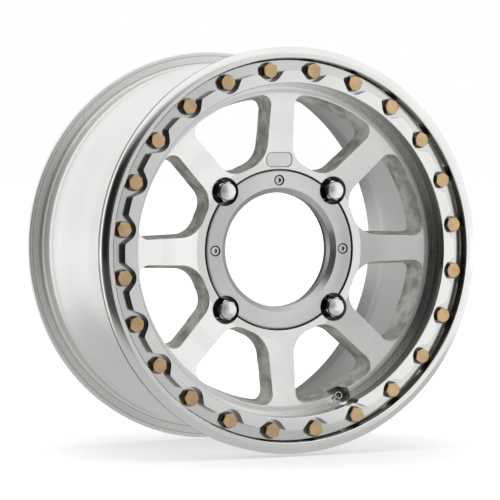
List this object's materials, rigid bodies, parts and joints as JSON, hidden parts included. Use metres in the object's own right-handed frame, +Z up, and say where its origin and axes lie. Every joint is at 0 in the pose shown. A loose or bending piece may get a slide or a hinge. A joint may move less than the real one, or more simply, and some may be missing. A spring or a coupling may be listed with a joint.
{
  "type": "beadlock wheel",
  "caption": "One-piece aluminium off-road wheel with a bolted outer bead clamp ring, spoked face, deep lug pockets and a clamp-in valve.",
  "frame": {"origin": "centre of the hub mounting face, on the wheel's axis", "axes": "+Y along the wheel's axis towards the vehicle, street face towards -Y, +Z up through the spoke that carries the badge"},
  "size_m": [0.3839, 0.2084, 0.384],
  "materials": {
    "cast_aluminium": "machined and clear coated, cast walls in the windows",
    "ring_aluminium": "fine turned, bright",
    "bolt_zinc": "yellow zinc plated",
    "washer_zinc": "yellow zinc plated, dull",
    "lug_chrome": "chrome plated",
    "centre_aluminium": "fine turned",
    "screw_steel": "satin steel",
    "badge_aluminium": "brushed",
    "valve_chrome": "chrome plated",
    "seal_rubber": "matt black",
    "core_brass": "plain brass",
    "core_seal_red": "matt red",
    "pin_steel": "plain steel"
  },
  "bodies": {
    "wheel": {"wheel": "cast_aluminium", "beadlock_ring": "ring_aluminium", "beadlock_bolts": "bolt_zinc", "beadlock_washers": "washer_zinc", "lug_nuts": "lug_chrome", "centre_ring": "centre_aluminium", "centre_ring_screws": "screw_steel", "badge": "badge_aluminium", "valve_stem": "valve_chrome", "valve_seal": "seal_rubber", "valve_washer": "valve_chrome", "valve_nut": "valve_chrome", "valve_core": "core_brass", "valve_core_seal": "core_seal_red", "valve_spring": "pin_steel"},
    "valve_pin": {"valve_pin": "pin_steel", "valve_pin_seal": "seal_rubber"}
  },
  "joints": [
    {"name": "valve_pin_slide", "type": "slide", "parent": "wheel", "child": "valve_pin", "axis": [0.1617, 0.9063, -0.3904], "range_m": [0, 0.0012], "stiffness_N_per_m": 400, "springref_m": -0.002, "deforming": ["valve_spring"]}
  ]
}
